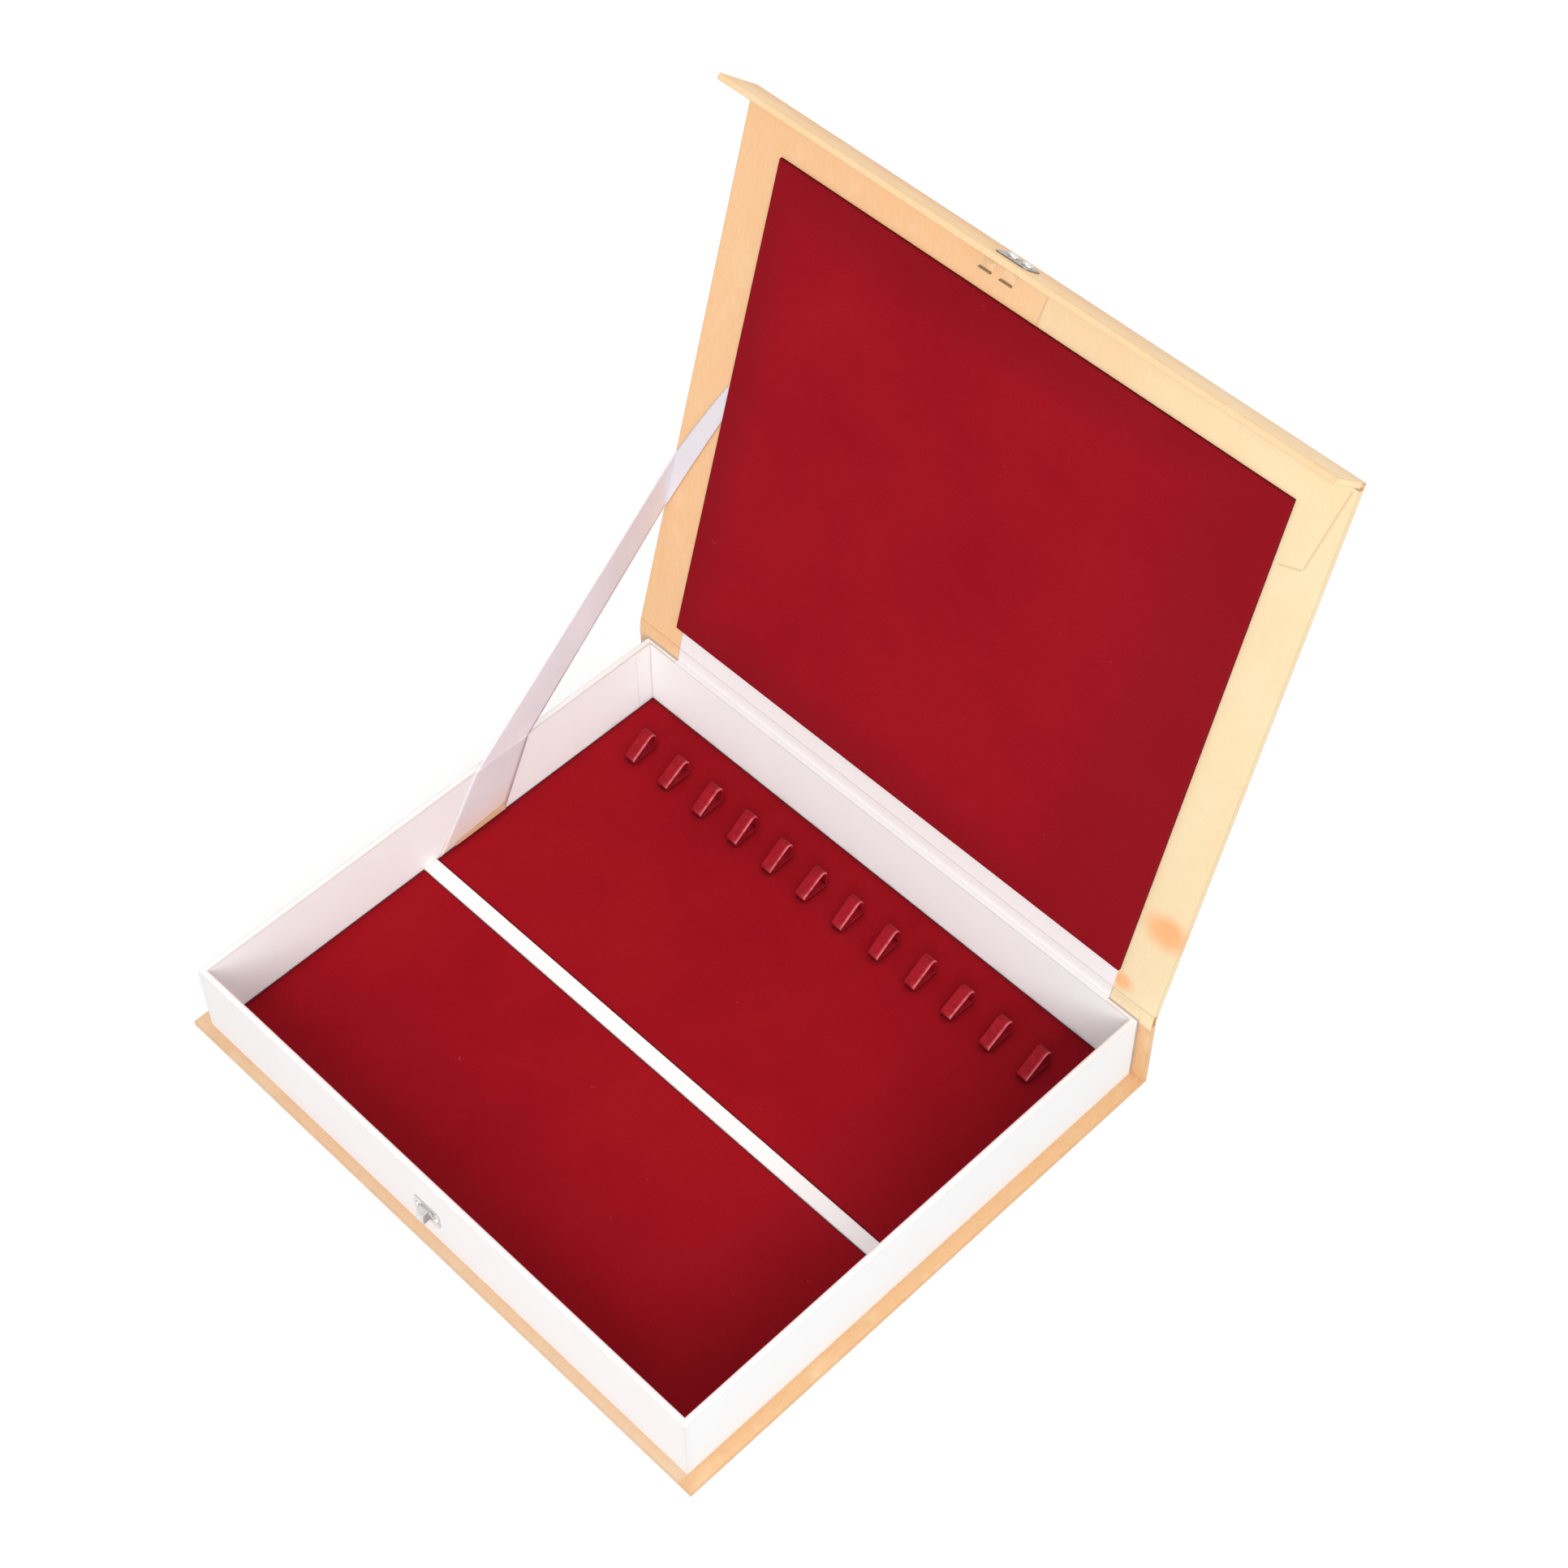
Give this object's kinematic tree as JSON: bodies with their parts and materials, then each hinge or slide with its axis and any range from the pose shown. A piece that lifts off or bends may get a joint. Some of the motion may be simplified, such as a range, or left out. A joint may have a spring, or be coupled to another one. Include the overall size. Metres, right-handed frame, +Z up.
{
  "type": "chain organizer box",
  "caption": "Shallow book-style case for necklaces: hinged lid with folding latch flap, ribbon stay, velvet floor pads and a row of small strap loops.",
  "frame": {"origin": "centre of the base board's underside", "axes": "+X along the lid hinge, +Y from the opening side to the hinge, +Z up"},
  "size_m": [0.3, 0.3349, 0.3203],
  "materials": {
    "greyboard": "matt board",
    "gold_paper": "light pearl sheen",
    "white_paper": "matt",
    "velvet": "short pile",
    "leatherette": "satin gloss",
    "satin": "satin weave",
    "nickel": "nickel plated sheet"
  },
  "bodies": {
    "base": {"base_board": "greyboard", "base_cover_paper": "gold_paper", "spine_board": "greyboard", "spine_cover_paper": "gold_paper", "tray_bottom_card": "greyboard", "tray_front_board": "greyboard", "tray_rear_board": "greyboard", "tray_left_board": "greyboard", "tray_right_board": "greyboard", "tray_cover_paper": "white_paper", "front_pad_card": "greyboard", "front_pad_velvet": "velvet", "rear_pad_card": "greyboard", "rear_pad_velvet": "velvet", "divider_board": "greyboard", "divider_cover_paper": "white_paper", "chain_loop_01": "leatherette", "chain_loop_02": "leatherette", "chain_loop_03": "leatherette", "chain_loop_04": "leatherette", "chain_loop_05": "leatherette", "chain_loop_06": "leatherette", "chain_loop_07": "leatherette", "chain_loop_08": "leatherette", "chain_loop_09": "leatherette", "chain_loop_10": "leatherette", "chain_loop_11": "leatherette", "chain_loop_12": "leatherette", "strike_plate": "nickel", "strike_pins": "nickel", "ribbon_stay": "satin", "ribbon_anchor_patch": "gold_paper", "hinge_cover_paper": "gold_paper", "hinge_lining_strip": "white_paper", "hinge_lining_left_end": "gold_paper", "hinge_lining_right_end": "gold_paper"},
    "lid": {"lid_board": "greyboard", "lid_cover_paper": "gold_paper", "lid_panel_card": "greyboard", "lid_velvet": "velvet", "lid_border_strip": "white_paper", "crease_cover_paper": "gold_paper"},
    "flap": {"flap_board": "greyboard", "flap_cover_paper": "gold_paper", "latch_plate": "nickel", "latch_prongs": "nickel", "latch_rivets": "nickel"}
  },
  "joints": [
    {"name": "lid_hinge", "type": "hinge", "parent": "base", "child": "lid", "pos_m": [0, 0.1305, 0.0452], "axis": [1, 0, 0], "range_deg": [0, 106], "deforming": ["ribbon_stay", "hinge_cover_paper", "hinge_lining_strip", "hinge_lining_left_end", "hinge_lining_right_end"]},
    {"name": "flap_fold", "type": "hinge", "parent": "lid", "child": "flap", "pos_m": [0, 0.20437, 0.30282], "axis": [1, 0, 0], "range_deg": [-64.8, 25.2], "deforming": ["crease_cover_paper"]}
  ]
}
